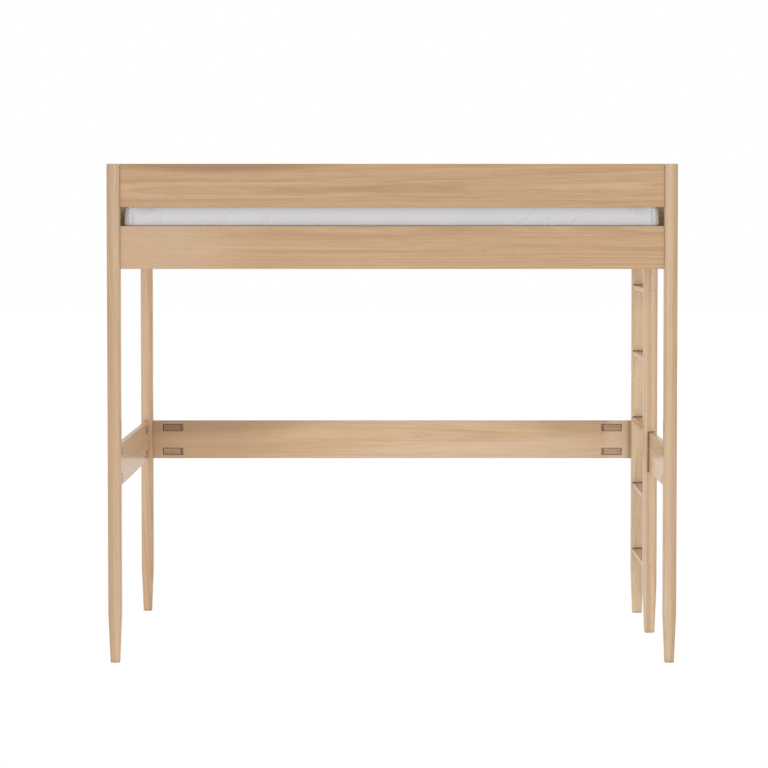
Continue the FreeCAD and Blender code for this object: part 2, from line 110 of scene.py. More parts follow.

# Heartwood, pale edge wood, painted shade and painted light in a piece: its colour, its middle and its
# reach along X, Y and Z, where 0 is all the way, and its depth
PATCHES_OF_WOOD_AND_PAINTED_LIGHT = {
    "front_guard_rail": (("dark", (-0.62, 0, 1.784), (0.50, 0, 0.046), 0.8),),
    "front_side_rail": (("sap_and_highlight", (-0.96, 0, 1.475), (0.50, 0, 0.16), 0.35),),
    "back_stretcher": (
        ("dark", (-0.86, 0, 0.775), (0.66, 0, 0.082), 0.85),
        ("dark", (-0.97, 0, 0.67), (0.62, 0, 0.16), 0.40),
        ("dark", (0.77, 0, 0.780), (0.26, 0, 0.085), 0.4),
        ("sap_and_highlight", (0.5, 0, 0.63), (0.9, 0, 0.08), 0.35),
        ("sap_and_highlight", (0.93, 0, 0.70), (0.085, 0, 0.2), 0.55),
        # Painted shadow of the ladder's back stile across the stretcher's right end
        ("dark", (0.968, 0, 0.69), (0.027, 0, 0.5), 0.65)),
    # On the front posts the darker outer edge is painted shade and the paler inner edge is painted light
    "front_left_post": (
        ("dark", (-1.010, 0, 0), (0.027, 0, 0), 0.26),
        ("sap_and_highlight", (-0.977, 0, 0), (0.013, 0, 0), 0.1)),
    "front_right_post": (
        ("dark", (1.009, 0, 0), (0.026, 0, 0), 0.30),
        ("sap_and_highlight", (0.974, 0, 0), (0.022, 0, 0), 0.22)),
    # Painted light high on the outer edge and painted shade low on the inner edge, which even out the lamps'
    # gradient down the post
    "back_left_post": (
        ("sap_and_highlight", (-1.000, 0, 1.1), (0.026, 0, 0.9), 0.25),
        ("dark", (-0.966, 0, 0.2), (0.026, 0, 0.9), 0.3)),
    # Darker along the top of the board
    "right_end_stretcher": (("dark", (0, -0.26, 0.765), (0, 0.6, 0.085), 0.25),),
    # A painted highlight along the left edge stands for the glare of the stile's inner side, and the bands
    # after it are painted shade and painted light
    "ladder_front_stile": (
        ("sap_and_highlight", (0.961, 0, 0), (0.011, 0, 0), 0.32),
        ("dark", (0.974, 0, 0), (0.009, 0, 0), 0.25),
        ("sap_and_highlight", (0.994, 0, 0), (0.015, 0, 0), 0.22),
        ("dark", (1.006, 0, 0), (0.009, 0, 0), 0.3)),
    # Painted shade down the lower right edge
    "ladder_back_stile": (("dark", (1.004, 0, 0.35), (0.045, 0, 0.7), 0.35),),
    # Painted shade on the left covers, most on the upper ones, and painted light on the right covers, most
    # on the lower ones
    "pocket_covers": (
        ("dark", (-0.885, 0, 0.741), (0.12, 0, 0.03), 0.62),
        ("dark", (-0.885, 0, 0.645), (0.12, 0, 0.03), 0.15),
        ("sap_and_highlight", (0.885, 0, 0.741), (0.12, 0, 0.03), 0.3),
        ("sap_and_highlight", (0.885, 0, 0.645), (0.12, 0, 0.03), 0.8)),
}

# Patterns in wood: their sizes in millimetres along and across the grain. Fibres are a fraction of
# a millimetre wide, drawn coarser so that they show
BOW_MM = (800, 150)
RING_LENGTH_MM = 900
STREAK_MM = (1300, 38)
FIBRE_MM = (130, 3.2)
PORE_MM = (22, 0.9)
PORE_DEPTH_MM = 0.2

# The tree: how far its trunk bows, where a board's pith lies beside and above its middle, how far
# it leans in radians, and how far along the trunk a board may come from
BOW_REACH = Vector((0, 0.016, 0.016))
PITH_ASIDE = (0.05, 0.10)
PITH_RISE = 0.09
PITH_LEAN = (0.012, 0.02)
TRUNK_REACH = 9

# Wood's colours: the levels of a pattern where a colour starts and is full, the share that the
# streaks and pores then cover, the fibres' share of the lines, and how ragged a patch's edge is
LINE_LEVELS = (0.34, 0.66)
STREAK_LEVELS = (0.38, 0.68)
STREAK_SHARE = 0.7
PORE_LEVELS = (0.60, 0.72)
PORE_SHARE = 0.45
PATCH_LEVELS = (1.3, 0.75)
PATCH_RAGGED = 0.5
FIBRE_SHARE = 0.35

# How far wood's roughness goes below and above its own with the fibres
ROUGHNESS_SPREAD = (-0.05, 0.07)

# A pocket cover's face is an outer one if it has more than this share of the largest face's area
OUTER_FACE_SHARE = 0.97

# Fasteners: how far the two staples on a slat stand from its middle, how near to a fastener's end
# its points lie, the reach of a model until a copy gets its own, and the width of a screw's tip as a
# share of its shank
STAPLE_STEPS = (-0.016, 0.016)
END_ROOM = 0.1 * MM
MODEL_REACH = 1.0
TIP_SHARE = 0.1


def linear(hex_colour):
    """Linear red, green and blue of an sRGB hex colour."""
    levels = [int(hex_colour[start:start + 2], 16) / 255 for start in (0, 2, 4)]
    return [level / 12.92 if level <= 0.04045 else ((level + 0.055) / 1.055) ** 2.4 for level in levels]


def per_metre(size_mm):
    """Pattern scale that gives features of about this size."""
    return 1000.0 / size_mm


def grain_scale(along_mm, across_mm):
    """Pattern scale for features of one size along X, and of another across it."""
    return per_metre(along_mm), per_metre(across_mm), per_metre(across_mm)


def shade(tint, tone=0.0, fade=0.0):
    """A colour made lighter or darker and less orange by shares, with the alpha that sockets want."""
    gains = (1 + tone, (1 + tone) * (1 + fade), (1 + tone) * (1 + BLUE_FADE * fade))
    return [min(1.0, part * gain) for part, gain in zip(tint, gains)] + [1.0]


# Settings that a user can change, of one kind each


def colour(name, description, hex_colour):
    return FloatVectorProperty(
        name=name, description=description, subtype="COLOR", default=linear(hex_colour), min=0, max=1)


def amount(name, description, default, **settings):
    return FloatProperty(name=name, description=description, default=default, **settings)


def length(name, description, default):
    return amount(name, description, default, unit="LENGTH")


def share(name, description, default):
    return amount(name, description, default, subtype="FACTOR", min=0, max=1)


def angle(name, description, degrees):
    return amount(name, description, math.radians(degrees), unit="ROTATION")


def watts(name, description, default):
    return amount(name, description, default, subtype="POWER", min=0)


class LoftBedOak(bpy.types.PropertyGroup):
    """Colours, grain and lacquer of the oak frame."""

    pale: colour("Pale wood", "Early wood between the grain lines", "D3B08A")
    deep: colour("Deep wood", "Late wood in the grain lines", "BC966F")
    rosy: colour("Rosy wood", "Warmer streaks that run along a board", "CBA07C")
    # The next two colours also give the painted shade and painted light of some patches
    dark: colour("Heartwood and pores", "Heartwood at a board's edge, and open pores", "A58260")
    sap_and_highlight: colour("Sapwood", "Paler wood at a board's edge", "DCC2A4")
    ring_mm: amount("Ring width", "Width of a year's growth in mm", 4.8, min=1)
    roughness: share("Roughness", "Roughness of the wood under the lacquer", 0.5)
    coat: share("Lacquer", "How much of the lacquer's clear gloss shows", 0.45)
    coat_roughness: share("Lacquer roughness", "Roughness of the lacquer's own surface", 0.16)


class LoftBedCovers(bpy.types.PropertyGroup):
    """Colours of the oak plates that close the bolt pockets, darker with painted shade, and their eased
    edges.
    """

    # These colours are darker than the frame's oak: painted shade of the pockets that the plates close
    pale: colour("Pale wood", "Early wood between the grain lines", "B79D82")
    deep: colour("Deep wood", "Late wood in the grain lines", "A0856A")
    rosy: colour("Rosy wood", "Warmer streaks", "A3836A")
    # Through the patches the darkest covers are painted shade and the palest painted light
    dark: colour("Pores", "Open pores and the darkest covers", "755A42")
    sap_and_highlight: colour("Sapwood", "Paler wood at an edge", "BCA48A")
    ring_mm: amount("Ring width", "Width of a year's growth in mm", 5.0, min=1)
    roughness: share("Roughness", "Roughness of the wood under the lacquer", 0.55)
    coat: share("Lacquer", "How much of the lacquer's clear gloss shows", 0.5)
    coat_roughness: share("Lacquer roughness", "Roughness of the lacquer's own surface", 0.2)
    ease: length("Eased edge", "Width of the chamfer round a cover's face", 0.0016)
    # A darker chamfer paints the shadow of the gap round a cover
    edge_shade: amount("Edge tone", "How much darker a cover's chamfer is, below 0, by share", -0.5)


class LoftBedSlats(bpy.types.PropertyGroup):
    """Colours of the planed pine slats, ledges and beech dowels."""

    pale: colour("Pale wood", "Early wood between the grain lines", "DEC59F")
    deep: colour("Deep wood", "Late wood in the grain lines", "C9A576")
    rosy: colour("Rosy wood", "Warmer streaks", "D6B68B")
    dark: colour("Pores", "Resin lines", "AE8556")
    sap_and_highlight: colour("Sapwood", "Paler wood at an edge", "E6D3B4")
    ring_mm: amount("Ring width", "Width of a year's growth in mm", 5.0, min=1)
    roughness: share("Roughness", "Roughness of planed wood", 0.65)
    coat: share("Lacquer", "None on the slats", 0.0)
    coat_roughness: share("Lacquer roughness", "Roughness of the lacquer's own surface", 0.3)


class LoftBedHardware(bpy.types.PropertyGroup):
    """Sizes and colours of the bolts, screws, glides, webbing and staples."""

    bolt_head: length("Bolt head", "Diameter of a bolt's head", 0.010)
    bolt_head_height: length("Bolt head height", "Height of a bolt's head", 0.006)
    bolt_shank: length("Bolt shank", "Diameter of a bolt's shank", 0.006)
    socket_width: length("Socket width", "Across the flats of a bolt's hexagon socket", 0.004)
    socket_depth: length("Socket depth", "Depth of a bolt's hexagon socket", 0.003)
    rim_bevel: length("Rim bevel", "Bevel round a bolt's head", 0.0006)
    screw_head: length("Screw head", "Diameter of a screw's countersunk head", 0.008)
    screw_head_height: length("Screw head height", "Height of a screw's countersunk head", 0.003)
    screw_shank: length("Screw shank", "Diameter of a screw's shank", 0.004)
    screw_tip: length("Screw tip", "Length of a screw's point", 0.006)
    cross_width: length("Cross width", "Width of the slots in a screw's cross recess", 0.0012)
    cross_length: length("Cross length", "Length of the slots in a screw's cross recess", 0.0044)
    cross_depth: length("Cross depth", "Depth of a screw's cross recess", 0.0016)
    strap_thickness: length("Strap thickness", "Thickness of the woven straps", 0.0013)
    strap_sag: length("Strap sag", "How far a strap hangs between two slats", 0.0015)
    staple_wire: length("Staple wire", "Thickness of a staple's wire", 0.0012)
    staple_crown: length("Staple crown", "Width of a staple's crown", 0.011)
    nickel: colour("Ladder bolts", "Colour of the pale nickel plate on the bolts", "D9CBB5")
    black: colour("Rail bolts", "Colour of the black oxide on the rail bolts", "2A2928")
    zinc: colour("Screws and inserts", "Colour of bright zinc", "C4C6C9")
    nylon: colour("Glides", "Colour of the nylon glides", "7A5C43")
    webbing: colour("Straps", "Colour of the woven straps", "DAD5C8")


class LoftBedMattress(bpy.types.PropertyGroup):
    """Form of the mattress and its fitted cover."""

    cover: colour("Cover", "Colour of the cotton cover", "DFE1E5")
    ticking: colour("Ticking", "Colour of the mattress under the cover", "D9D7D2")
    slack: length("Slack", "How much smaller the block starts than the mattress", 0.009)
    left_stretch: length("Left stretch", "How far the cover stands out at the left end", 0.005)
    right_stretch: length("Right stretch", "How far the cover stands out at the right end", 0.001)
    side_stretch: length("Side stretch", "How far the cover stands out of the mattress's sides", -0.002)
    lip: length("Lip", "How far the sides stand out over the side rails", 0.0085)
    corner_radius: length("Corner radius", "Radius of the upright corners", 0.038)
    top_radius: length("Top edge radius", "Radius round the top", 0.034)
    base_radius: length("Base edge radius", "Radius round the base", 0.016)
    voxel: length("Voxel", "Mesh size of the simulated cover", 0.0185)
    pressure: amount("Pressure", "Push of the filling on the cover", 4.0)
    swell: length("Swell", "Most that a point of the cover moves", 0.009)
    seam_turn: angle("Seam turn", "Direction of a corner seam, from the bed's length to its side", 74)
    seam_width: length("Seam width", "Half width of the sewn corner seams", 0.0028)
    seam_depth: length("Seam depth", "Depth of the sewn corner seams", 0.0055)
    fold_width: length("Fold width", "Half width of the folds drawn in to a seam", 0.0055)
    fold_depth: length("Fold depth", "Depth of the folds drawn in to a seam", 0.0032)
    crease_width: length("Crease width", "Half width of the soft creases in the sides", 0.0055)
    crease_depth: length("Crease depth", "Depth of the soft creases in the sides", 0.0042)
    ripple: length("Ripple", "Height of the soft waves in the cover", 0.0016)
    pull_width: length("Pull width", "Half width of the long creases in the top", 0.016)
    pull_depth: length("Pull depth", "Depth of the long creases in the top", 0.0030)
    hem: length("Hem", "How far the cover turns under the mattress", 0.085)
    hem_room: length("Hem room", "How far from the hem the mesh stays fine", 0.022)
    flat_share: share("Flat share", "Share of the faces that are kept where the ticking is flat", 0.1)


class LoftBedStage(bpy.types.PropertyGroup):
    """Camera, light and floor."""

    lens_mm: amount("Lens", "Focal length in millimetres", 101.491, subtype="DISTANCE_CAMERA")
    distance: length("Distance", "Camera's distance in front of the bed's middle", 8.1855)
    height: length("Height", "Camera's height above the floor", 1.5729)
    tilt: angle("Tilt", "How far the camera looks down", 1.8899)
    shift_x: amount("Shift across", "Lens shift across", -0.01075)
    shift_y: amount("Shift up", "Lens shift up", -0.1196)
    wall: amount("Walls", "Strength of the white walls as light", 0.5, min=0)
    roof: amount("Roof", "Strength of the white roof as light", 0.95, min=0)
    key: watts("Key", "Watts of the wide soft lamp behind the camera", 555.0)
    back_key: watts("Back key", "Watts of the same lamp behind the bed", 380.0)
    floor_fill: watts("Floor fill", "Watts of the floor panel round the bed", 22.0)
    front_fill: watts("Front fill", "Watts of the panel under the front rail", 1.6)
    floor: colour("Floor", "Colour of the floor", "F2F2F1")
    floor_glow: share("Floor glow", "Share of the floor that the camera sees as plain white", 0.90)


def add_node(tree, kind, inputs=None, **settings):
    """Add one shader node, set its properties, and fill or link its sockets by name or number."""
    node = tree.nodes.new("ShaderNode" + kind)
    for name, value in settings.items():
        setattr(node, name, value)
    for key, value in (inputs or {}).items():
        if isinstance(value, bpy.types.NodeSocket):
            tree.links.new(value, node.inputs[key])
        else:
            node.inputs[key].default_value = value
    return node


def new_material(name, **sockets):
    """A material with one principled shader, some of whose sockets are set."""
    material = bpy.data.materials.new(name)
    material.use_nodes = True
    surface = material.node_tree.nodes["Principled BSDF"]
    for socket, value in sockets.items():
        surface.inputs[socket.replace("_", " ")].default_value = value
    return material, material.node_tree, surface


def uneven(tree, surface, pattern, tint, tones, roughness=None):
    """Let a surface's colour go from a darker to a lighter tone with a pattern, and its roughness too."""
    dark, light = tones
    hue = add_node(tree, "Mix", {0: pattern, 6: shade(tint, dark), 7: shade(tint, light)}, data_type="RGBA")
    tree.links.new(hue.outputs[2], surface.inputs["Base Color"])
    if roughness:
        low, high = roughness
        dull = add_node(tree, "MapRange", {"Value": pattern, "To Min": low, "To Max": high})
        tree.links.new(dull.outputs[0], surface.inputs["Roughness"])


def finish_with(piece, *materials):
    """Give a piece these materials and no others."""
    piece.data.materials.clear()
    for material in materials:
        piece.data.materials.append(material)


def deselect_all():
    if bpy.context.object is not None and bpy.context.object.mode != "OBJECT":
        bpy.ops.object.mode_set(mode="OBJECT")
    bpy.ops.object.select_all(action="DESELECT")


def select_only(*pieces):
    """Select these pieces, with the first one active."""
    deselect_all()
    for piece in pieces:
        piece.select_set(True)
    bpy.context.view_layer.objects.active = pieces[0]


@contextmanager
def editing(piece):
    """Edit mode on one piece."""
    select_only(piece)
    bpy.ops.object.mode_set(mode="EDIT")
    yield
    bpy.ops.object.mode_set(mode="OBJECT")


def select_faces(piece, wanted):
    """In edit mode, select only the faces that a test picks."""
    bpy.ops.mesh.select_mode(type="FACE")
    bpy.ops.mesh.select_all(action="DESELECT")
    mesh = bmesh.from_edit_mesh(piece.data)
    for face in mesh.faces:
        face.select = wanted(face)
    bmesh.update_edit_mesh(piece.data)


def select_edges(piece, wanted):
    """In edit mode, select only the sharp edges whose two ends a test picks."""
    least_turn = 0.1
    bpy.ops.mesh.select_mode(type="EDGE")
    bpy.ops.mesh.select_all(action="DESELECT")
    mesh = bmesh.from_edit_mesh(piece.data)
    for edge in mesh.edges:
        edge.select = wanted(edge.verts[0].co, edge.verts[1].co) and edge.calc_face_angle(0) > least_turn
    bmesh.update_edit_mesh(piece.data)


def extrude_up(distance):
    """In edit mode, extrude the selected faces upwards, or downwards below 0."""
    bpy.ops.mesh.extrude_region_move(TRANSFORM_OT_translate={"value": (0, 0, distance)})


def apply_modifier(piece, modifier):
    select_only(piece)
    bpy.ops.object.modifier_apply(modifier=modifier.name)


def new_box(name, sides, middle=(0, 0, 0)):
    """A box of these sides to start a model from."""
    deselect_all()
    bpy.ops.mesh.primitive_cube_add(size=1)
    box = bpy.context.object
    box.name = name
    with editing(box):
        bpy.ops.transform.resize(value=sides)
        bpy.ops.transform.translate(value=middle)
    return box


def bell(distance, width):
    """1 on a line, falling smoothly to 0 a few widths away."""
    return math.exp(-(distance / width) ** 2)


def ramp(value, start, end):
    """0 before start and 1 after end, smooth between."""
    part = min(1.0, max(0.0, (value - start) / (end - start)))
    return part * part * (3 - 2 * part)


def wood(title, piece_name, grain, look, tone=0.0, fade=0.0):
    """Sawn and sanded wood, with lacquer where it has some.

    The eye sees soft lines along the board from the growth rings, rosy and yellow streaks,
    short dark pores, and a satin sheen that turns to a white reflection at a low angle.
    """
    draw = random.Random(piece_name)
    low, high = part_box(piece_name)
    turn = Euler(GRAIN_TURN[grain])
    turned = turn.to_matrix()
    pith_side = draw.choice((-1, 1)) * draw.uniform(*PITH_ASIDE)
    pith = Vector((0, pith_side, draw.uniform(-PITH_RISE, PITH_RISE)))
    lean = (0, *(draw.uniform(-most, most) for most in PITH_LEAN))
    start = Vector((draw.uniform(-TRUNK_REACH, TRUNK_REACH), 0, 0)) - turned @ ((low + high) / 2)
    hues = {part: shade(getattr(look, part), tone, fade) for part in ("pale", "deep", "rosy", "dark", "sap_and_highlight")}
    material, tree, surface = new_material(
        title + " " + piece_name.replace("_", " "), IOR=1.5, Specular_IOR_Level=0.12,
        Coat_Weight=look.coat, Coat_Roughness=look.coat_roughness, Coat_IOR=1.5)
    place = add_node(tree, "TexCoord").outputs["Object"]
    # Each board is cut from its own part of the tree, and the trunk isn't quite straight
    along = add_node(tree, "Mapping", {"Vector": place, "Rotation": turn, "Location": start}).outputs[0]
    bow_place = add_node(tree, "Mapping", {"Vector": along, "Scale": grain_scale(*BOW_MM)})
    bow = add_node(tree, "TexNoise", {"Vector": bow_place.outputs[0], "Scale": 1.0, "Detail": 1.5})
    bent = add_node(tree, "VectorMath", {
        0: bow.outputs["Color"], 1: BOW_REACH, 2: along}, operation="MULTIPLY_ADD").outputs[0]
    # Rings lie round the pith, and the pith leans a little from the board
    from_pith = add_node(tree, "Mapping", {"Vector": bent, "Location": pith, "Rotation": lean})
    across = add_node(tree, "VectorMath", {0: from_pith.outputs[0], 1: (0, 1, 1)}, operation="MULTIPLY")
    radius = add_node(tree, "VectorMath", {0: across.outputs[0]}, operation="LENGTH")
    run = add_node(tree, "SeparateXYZ", {0: bent})
    round_pith = add_node(tree, "CombineXYZ", {0: radius.outputs["Value"], 1: run.outputs[0]}).outputs[0]
    streak_length, streak_width = STREAK_MM
    patterns = []
    for where, scale, detail, roughness, dimensions in (
            (round_pith, (per_metre(look.ring_mm), per_metre(RING_LENGTH_MM), 1), 4.0, 0.65, "2D"),
            (round_pith, (per_metre(streak_width), per_metre(streak_length), 1), 3.0, 0.5, "2D"),
            (bent, grain_scale(*FIBRE_MM), 3.0, 0.6, "3D"),
            (bent, grain_scale(*PORE_MM), 1.0, 0.5, "3D")):
        scaled = add_node(tree, "Mapping", {"Vector": where, "Scale": scale})
        patterns.append(add_node(tree, "TexNoise", {
            "Vector": scaled.outputs[0], "Scale": 1.0, "Detail": detail, "Roughness": roughness},
            noise_dimensions=dimensions).outputs["Fac"])
    rings, streaks, fibres, pores = patterns
    lines = add_node(tree, "Mix", {0: FIBRE_SHARE, 2: rings, 3: fibres}).outputs[0]
    # Colours lie over each other, from the lines of the grain to the pores
    layers = [(lines, LINE_LEVELS, 1.0, "deep"), (streaks, STREAK_LEVELS, STREAK_SHARE, "rosy")]
    # Patches add dark and pale wood, and also painted shade and painted light
    for part, patch_middle, reaches, depth in PATCHES_OF_WOOD_AND_PAINTED_LIGHT.get(piece_name, ()):
        patch_middle = turned @ Vector(patch_middle) + start + BOW_REACH / 2
        scale = [1 / abs(reach) if abs(reach) > MM else 0.0 for reach in turned @ Vector(reaches)]
        from_patch_middle = add_node(tree, "Mapping", {
            "Vector": bent, "Location": [-spot * size for spot, size in zip(patch_middle, scale)], "Scale": scale})
        reach = add_node(tree, "VectorMath", {0: from_patch_middle.outputs[0]}, operation="LENGTH")
        ragged = add_node(tree, "Math", {
            0: rings, 1: PATCH_RAGGED, 2: reach.outputs["Value"]}, operation="MULTIPLY_ADD")
        layers.append((ragged.outputs[0], PATCH_LEVELS, depth, part))
    layers.append((pores, PORE_LEVELS, PORE_SHARE, "dark"))
    hue = hues["pale"]
    for pattern, (none, full), most, part in layers:
        mask = add_node(tree, "MapRange", {
            "Value": pattern, "From Min": none, "From Max": full, "To Max": most},
            interpolation_type="SMOOTHSTEP").outputs[0]
        hue = add_node(tree, "Mix", {0: mask, 6: hue, 7: hues[part]}, data_type="RGBA").outputs[2]
    tree.links.new(hue, surface.inputs["Base Color"])
    smoother, rougher = (look.roughness + spread for spread in ROUGHNESS_SPREAD)
    sheen = add_node(tree, "MapRange", {"Value": fibres, "To Min": smoother, "To Max": rougher})
    tree.links.new(sheen.outputs[0], surface.inputs["Roughness"])
    # The last mask is the pores', and they are open
    relief = add_node(tree, "Bump", {
        "Strength": 0.2, "Distance": PORE_DEPTH_MM * MM, "Height": mask}, invert=True)
    tree.links.new(relief.outputs[0], surface.inputs["Normal"])
    return material


class LOFT_BED_OT_oak_frame(bpy.types.Operator):
    """Give each post, board, stile and rung its own piece of lacquered oak"""

    bl_idname = "loft_bed.oak_frame"
    bl_label = "Oak frame"

    def execute(self, context):
        draw = random.Random(11)
        for grain, names in OAK_PIECES.items():
            for name in names:
                other = (draw.uniform(*OTHER_BOARD_TONES), OTHER_BOARD_FADE)
                tone, fade = BOARD_TONES.get(name, other)
                finish_with(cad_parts[name], wood(
                    "Oak satin lacquer", name, grain, context.scene.loft_bed_oak, tone, fade))
        return {"FINISHED"}


class LOFT_BED_OT_pocket_covers(bpy.types.Operator):
    """Ease the edges of the plates that close the bolt pockets, and darken them and their chamfers with
    painted shade
    """

    bl_idname = "loft_bed.pocket_covers"
    bl_label = "Pocket covers"

    def execute(self, context):
        look = context.scene.loft_bed_covers
        piece = eased_covers(
            wood("Oak smoked", "pocket_covers", "X", look),
            wood("Oak smoked edges of", "pocket_covers", "X", look, look.edge_shade), look)
        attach(piece, "frame")
        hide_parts("pocket_covers")
        return {"FINISHED"}


def eased_covers(face_wood, gap_shadow_wood, look):
    """The covers as they are in CAD, with a chamfer round each outer face in a second, darker wood that
    paints the shadow of the gap round a cover.
    """
    covers = bpy.data.objects.new("pocket_covers_eased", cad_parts["pocket_covers"].data.copy())
    bpy.context.collection.objects.link(covers)
    finish_with(covers, face_wood, gap_shadow_wood)
    with editing(covers):
        bpy.ops.mesh.select_all(action="SELECT")
        bpy.ops.mesh.remove_doubles(threshold=SAME_POINT)
        bpy.ops.mesh.dissolve_limited(angle_limit=math.radians(1))
        # A cover's outer face is its largest, because its foot takes a part of the inner one
        largest = max(face.calc_area() for face in bmesh.from_edit_mesh(covers.data).faces)
        select_faces(covers, lambda face: face.calc_area() > OUTER_FACE_SHARE * largest)
        bpy.ops.mesh.bevel(offset=look.ease, segments=1, affect="EDGES", material=1)
    return covers


class LOFT_BED_OT_slat_base(bpy.types.Operator):
    """Give the ledges, slats and dowels their plain planed wood"""

    bl_idname = "loft_bed.slat_base"
    bl_label = "Slat base"

    def execute(self, context):
        draw = random.Random(5)
        kinds = (
            ("Pine planed", "X", LEDGES),
            ("Pine planed", "Y", SLATS),
            ("Beech turned", "Y", ("rung_dowels",)),
        )
        for title, grain, names in kinds:
            for name in names:
                finish_with(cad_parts[name], wood(
                    title, name, grain, context.scene.loft_bed_slats, draw.uniform(*SLAT_TONES)))
        return {"FINISHED"}


class LOFT_BED_OT_straps(bpy.types.Operator):
    """Model the woven straps that join the slats, and the staples that hold them"""

    bl_idname = "loft_bed.straps"
    bl_label = "Straps"

    def execute(self, context):
        sizes = context.scene.loft_bed_hardware
        cloth = strap_weave(sizes)
        staple = wire_staple(sizes)
        places = []
        for side in ("front", "back"):
            low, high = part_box("slat_webbing_" + side)
            strap = woven_strap("slat_strap_" + side, low, high, sizes)
            finish_with(strap, cloth)
            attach(strap, "frame")
            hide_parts("slat_webbing_" + side)
            base = high.z - sizes.strap_thickness
            for x in slat_middles():
                for step in STAPLE_STEPS:
                    places.append(Matrix.Translation((x + step, (low.y + high.y) / 2, base)))
        staples = joined_copies(staple, "strap_staples", places)
        finish_with(staples, plated_steel("Steel wire galvanised", sizes.zinc, 0.32))
        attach(staples, "frame")
        return {"FINISHED"}


def slat_middles():
    return [(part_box(name)[0].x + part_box(name)[1].x) / 2 for name in SLATS]


def woven_strap(name, low, high, sizes):
    """A flat strap held up by each slat, that hangs a little between them."""
    deselect_all()
    bpy.ops.mesh.primitive_grid_add(x_subdivisions=260, y_subdivisions=6, size=1)
    strap = bpy.context.object
    strap.name = name
    middle = (low + high) / 2
    with editing(strap):
        bpy.ops.transform.resize(value=(high.x - low.x, high.y - low.y, 1))
        bpy.ops.transform.translate(value=(middle.x, middle.y, high.z))
    middles = slat_middles()
    half_pitch = (middles[1] - middles[0]) / 2
    slat_low, slat_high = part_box(SLATS[0])
    half_slat = (slat_high.x - slat_low.x) / 2
    for vertex in strap.data.vertices:
        from_slat = min(abs(vertex.co.x - x) for x in middles)
        vertex.co.z -= sizes.strap_sag * ramp(from_slat, half_slat, half_pitch)
    wall = strap.modifiers.new("Thickness", "SOLIDIFY")
    wall.thickness = sizes.strap_thickness
    wall.offset = -1
    apply_modifier(strap, wall)
    bpy.ops.object.shade_smooth_by_angle(angle=math.radians(40))
    return strap


def wire_staple(sizes):
    """One staple: a crown under the strap whose ends turn up into the slat."""
    wire = sizes.staple_wire
    leg = sizes.staple_crown / 2 - wire
    staple = new_box("staple", (wire, sizes.staple_crown, wire / 2), (0, 0, -wire / 4))
    with editing(staple):
        for y in (leg, -leg):
            bpy.ops.mesh.select_all(action="SELECT")
            bpy.ops.mesh.bisect(plane_co=(0, y, 0), plane_no=(0, 1, 0))
        select_faces(staple, lambda face: face.normal.z > FACING and abs(face.calc_center_median().y) > leg)
        extrude_up(sizes.strap_thickness)
        select_edges(staple, lambda a, b: max(a.z, b.z) < wire / 4)
        bpy.ops.mesh.bevel(offset=wire / 6, segments=2, affect="EDGES")
    return staple


def strap_weave(sizes):
    """Polypropylene webbing: tight ribs along the strap, crossed by a fine weft, with a dull shine."""
    material, tree, surface = new_material(
        "Polypropylene webbing woven", Specular_IOR_Level=0.4, Sheen_Weight=0.1, Roughness=0.62)
    place = woven(tree, surface, thread_mm=1.6, height_mm=0.25)
    along = add_node(tree, "Mapping", {"Vector": place, "Scale": grain_scale(along_mm=60, across_mm=2)})
    yarn = add_node(tree, "TexNoise", {"Vector": along.outputs[0], "Scale": 1.0, "Detail": 3.0})
    uneven(tree, surface, yarn.outputs["Fac"], sizes.webbing, tones=(-0.18, 0.06))
    return material


class LOFT_BED_OT_fasteners(bpy.types.Operator):
    """Model the bolts and screws whose heads show, and finish the hidden hardware and the glides"""

    bl_idname = "loft_bed.fasteners"
    bl_label = "Fasteners"

    def execute(self, context):
        sizes = context.scene.loft_bed_hardware
        nickel = plated_steel("Steel satin nickel", sizes.nickel, 0.42)
        zinc = plated_steel("Steel bright zinc", sizes.zinc, 0.3)
        kinds = (
            (socket_bolt, nickel, "nickel_steel", ("ladder_bolts", "rung_bolts")),
            (cross_screw, zinc, "zinc_steel", ("ledge_screws", "slat_screws")),
        )
        for model, metal, slot, groups in kinds:
            for group in groups:
                places, reaches = zip(*fastener_heads(group))
                piece = joined_copies(model(sizes), group + "_detailed", places, reaches)
                finish_with(piece, metal)
                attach(piece, "frame")
                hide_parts(group)
        finish_with(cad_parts["threaded_inserts"], zinc)
        finish_with(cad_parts["rail_bolts"], plated_steel("Steel black oxide", sizes.black, 0.45))
        finish_with(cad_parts["foot_glides"], moulded_nylon(sizes))
        return {"FINISHED"}


def fastener_heads(group):
    """For each bolt or screw of a CAD group: the place and turn of its head, and its length."""
    mesh = bmesh.new()
    mesh.from_mesh(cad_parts[group].data)
    bmesh.ops.remove_doubles(mesh, verts=mesh.verts, dist=SAME_POINT)
    mesh.verts.index_update()
    seen = set()
    heads = []
    for first in mesh.verts:
        if first.index in seen:
            continue
        seen.add(first.index)
        island = [first]
        for vertex in island:
            for edge in vertex.link_edges:
                other = edge.other_vert(vertex)
                if other.index not in seen:
                    seen.add(other.index)
                    island.append(other)
        heads.append(head_of(island))
    mesh.free()
    return heads


